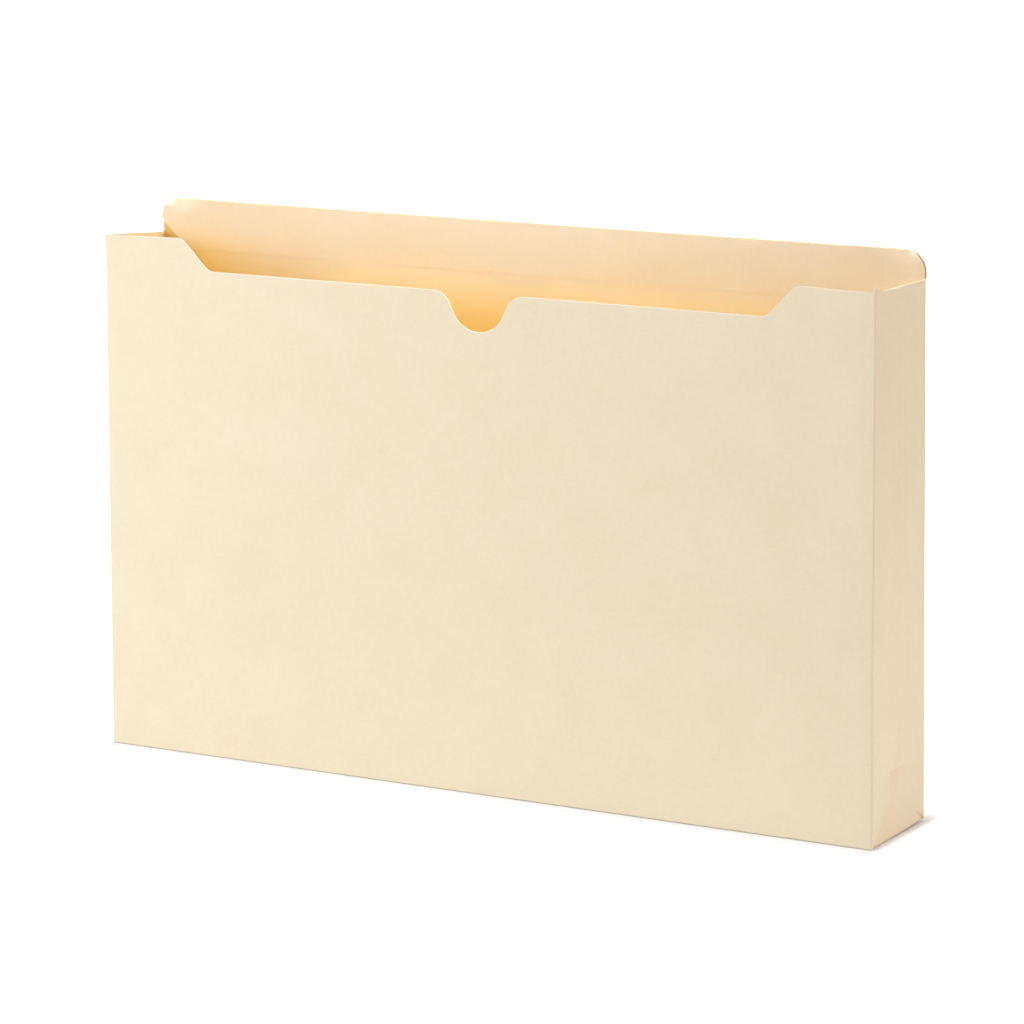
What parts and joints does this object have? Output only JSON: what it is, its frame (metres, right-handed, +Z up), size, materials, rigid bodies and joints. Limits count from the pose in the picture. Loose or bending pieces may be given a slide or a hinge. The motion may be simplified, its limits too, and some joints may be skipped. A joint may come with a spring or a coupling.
{
  "type": "expanding file jacket",
  "caption": "Open-topped expanding file jacket of manila card: tabbed back, cut-down front with a thumb cut, and side and bottom gussets that fold inward so it lies flat.",
  "frame": {"origin": "middle of the base the jacket stands on", "axes": "+X along the width to the right as seen from the front, +Y from the front panel to the back panel, +Z up"},
  "size_m": [0.3746, 0.0508, 0.2413],
  "materials": {
    "manila_card": "matte uncoated card",
    "dried_glue": "dull dried film"
  },
  "bodies": {
    "back": {"back_panel": "manila_card", "tab_ply": "manila_card", "tab_glue": "dried_glue"},
    "bottom_rear_half": {"bottom_rear": "manila_card"},
    "bottom_front_half": {"bottom_front": "manila_card"},
    "front": {"front_panel": "manila_card"},
    "right_rear_half": {"right_rear_flap": "manila_card", "right_front_lap": "manila_card", "right_rear_glue": "dried_glue", "right_rear_end_flap": "manila_card", "right_rear_pleat": "manila_card"},
    "right_front_half": {"right_front_flap": "manila_card", "right_rear_lap": "manila_card", "right_front_glue": "dried_glue", "right_front_end_flap": "manila_card", "right_front_pleat": "manila_card"},
    "left_rear_half": {"left_rear_flap": "manila_card", "left_front_lap": "manila_card", "left_rear_glue": "dried_glue", "left_rear_end_flap": "manila_card", "left_rear_pleat": "manila_card"},
    "left_front_half": {"left_front_flap": "manila_card", "left_rear_lap": "manila_card", "left_front_glue": "dried_glue", "left_front_end_flap": "manila_card", "left_front_pleat": "manila_card"}
  },
  "joints": [
    {"name": "bottom_rear_fold", "type": "hinge", "parent": "back", "child": "bottom_rear_half", "pos_m": [0, 0.02469, 0.00137], "axis": [-1, 0, 0], "range_deg": [0, 90]},
    {"name": "bottom_centre_fold", "type": "hinge", "parent": "bottom_rear_half", "child": "bottom_front_half", "pos_m": [0, 0, -0.00005], "axis": [1, 0, 0], "range_deg": [0, 180]},
    {"name": "front_fold", "type": "hinge", "parent": "bottom_front_half", "child": "front", "pos_m": [0, -0.02469, 0.00137], "axis": [-1, 0, 0], "range_deg": [0, 90]},
    {"name": "right_rear_fold", "type": "hinge", "parent": "back", "child": "right_rear_half", "pos_m": [0.18671, 0.02469, 0], "axis": [0, 0, -1], "range_deg": [0, 90], "deforming": ["right_rear_pleat"]},
    {"name": "right_front_fold", "type": "hinge", "parent": "front", "child": "right_front_half", "pos_m": [0.18671, -0.02469, 0], "axis": [0, 0, 1], "range_deg": [0, 90], "deforming": ["right_front_pleat"]},
    {"name": "left_rear_fold", "type": "hinge", "parent": "back", "child": "left_rear_half", "pos_m": [-0.18671, 0.02469, 0], "axis": [0, 0, 1], "range_deg": [0, 90], "deforming": ["left_rear_pleat"]},
    {"name": "left_front_fold", "type": "hinge", "parent": "front", "child": "left_front_half", "pos_m": [-0.18671, -0.02469, 0], "axis": [0, 0, -1], "range_deg": [0, 90], "deforming": ["left_front_pleat"]}
  ],
  "couplings": [
    {"joint": "bottom_rear_fold", "follows": "bottom_centre_fold", "ratio": 0.5},
    {"joint": "front_fold", "follows": "bottom_centre_fold", "ratio": 0.5},
    {"joint": "right_rear_fold", "follows": "bottom_centre_fold", "ratio": 0.5},
    {"joint": "right_front_fold", "follows": "bottom_centre_fold", "ratio": 0.5},
    {"joint": "left_rear_fold", "follows": "bottom_centre_fold", "ratio": 0.5},
    {"joint": "left_front_fold", "follows": "bottom_centre_fold", "ratio": 0.5}
  ]
}
